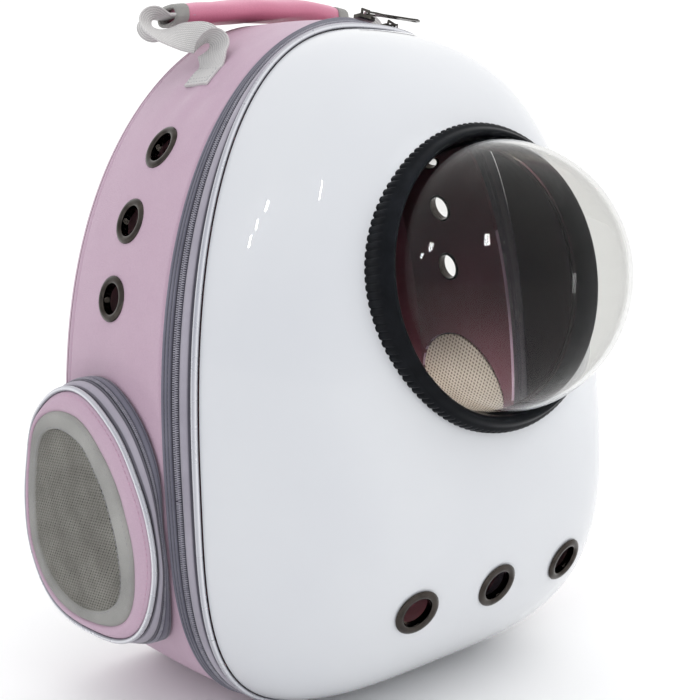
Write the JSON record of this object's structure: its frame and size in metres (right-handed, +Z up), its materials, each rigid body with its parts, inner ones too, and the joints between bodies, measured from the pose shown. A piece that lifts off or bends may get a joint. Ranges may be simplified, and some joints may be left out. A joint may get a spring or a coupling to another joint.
{
  "type": "bubble pet carrier backpack",
  "caption": "Pet carrier backpack with a glossy white hard shell, a clear bubble window in a black rubber ring, a pink soft body, mesh side pockets and a top handle.",
  "frame": {"origin": "on the floor under the middle of the overall box", "axes": "+X to the right seen from the front, +Y to the wearer's back, +Z up; the bubble looks to -Y"},
  "size_m": [0.376, 0.3614, 0.4583],
  "materials": {
    "shell": "white, high gloss",
    "acrylic": "clear, polished acrylic",
    "rubber": "black, satin",
    "gunmetal": "polished black nickel",
    "piping": "silver, satin",
    "zip_tape": "light grey tape",
    "zip_tape_dark": "dark grey woven tape",
    "zip_coil": "grey nylon coil",
    "pink_leather": "pale pink, fine grain",
    "grip_leather": "pink, fine grain",
    "webbing": "light grey woven",
    "window_mesh": "grey knitted mesh",
    "inner_mesh": "beige knitted mesh",
    "pad_fabric": "grey air mesh over foam",
    "buckle_plastic": "black moulded",
    "zip_metal": "gunmetal"
  },
  "bodies": {
    "carrier": {"front_shell": "shell", "bubble_dome": "acrylic", "bubble_ring": "rubber", "front_eyelet_left": "gunmetal", "front_eyelet_middle": "gunmetal", "front_eyelet_right": "gunmetal", "side_eyelet_left_top": "gunmetal", "side_eyelet_left_middle": "gunmetal", "side_eyelet_left_bottom": "gunmetal", "side_eyelet_right_top": "gunmetal", "side_eyelet_right_middle": "gunmetal", "side_eyelet_right_bottom": "gunmetal", "shell_piping": "piping", "pod_left_piping": "piping", "pod_right_piping": "piping", "zip_tape_front": "zip_tape", "pod_left_gusset": "zip_tape", "pod_right_gusset": "zip_tape", "zip_tape_rear": "zip_tape_dark", "pod_left_tape": "zip_tape_dark", "pod_right_tape": "zip_tape_dark", "zip_coil": "zip_coil", "pod_left_coil": "zip_coil", "pod_right_coil": "zip_coil", "body_band": "pink_leather", "hinge_strip": "pink_leather", "pod_left_hinge": "pink_leather", "pod_left_frame": "pink_leather", "pod_right_hinge": "pink_leather", "pod_right_frame": "pink_leather", "handle_grip": "grip_leather", "handle_binding_left": "webbing", "handle_binding_right": "webbing", "handle_webbing_left": "webbing", "handle_webbing_right": "webbing", "strap_webbing_left": "webbing", "strap_webbing_right": "webbing", "pod_left_binding": "webbing", "pod_right_binding": "webbing", "pod_left_mesh": "window_mesh", "pod_right_mesh": "window_mesh", "pod_left_inner_mesh": "inner_mesh", "pod_right_inner_mesh": "inner_mesh", "back_panel": "pad_fabric", "strap_left": "pad_fabric", "strap_right": "pad_fabric", "strap_adjuster_left": "buckle_plastic", "strap_adjuster_right": "buckle_plastic", "zip_slider_left": "zip_metal", "zip_slider_right": "zip_metal"},
    "pull_left": {"zip_pull_left": "zip_metal"},
    "pull_right": {"zip_pull_right": "zip_metal"}
  },
  "joints": [
    {"name": "pull_left_hinge", "type": "hinge", "parent": "carrier", "child": "pull_left", "pos_m": [0.01443, 0.01465, 0.43269], "axis": [0.5, 0.866, 0], "range_deg": [-150, 0]},
    {"name": "pull_right_hinge", "type": "hinge", "parent": "carrier", "child": "pull_right", "pos_m": [0.03594, 0.01465, 0.42625], "axis": [-0.766, 0.6428, 0], "range_deg": [-150, 0]}
  ]
}
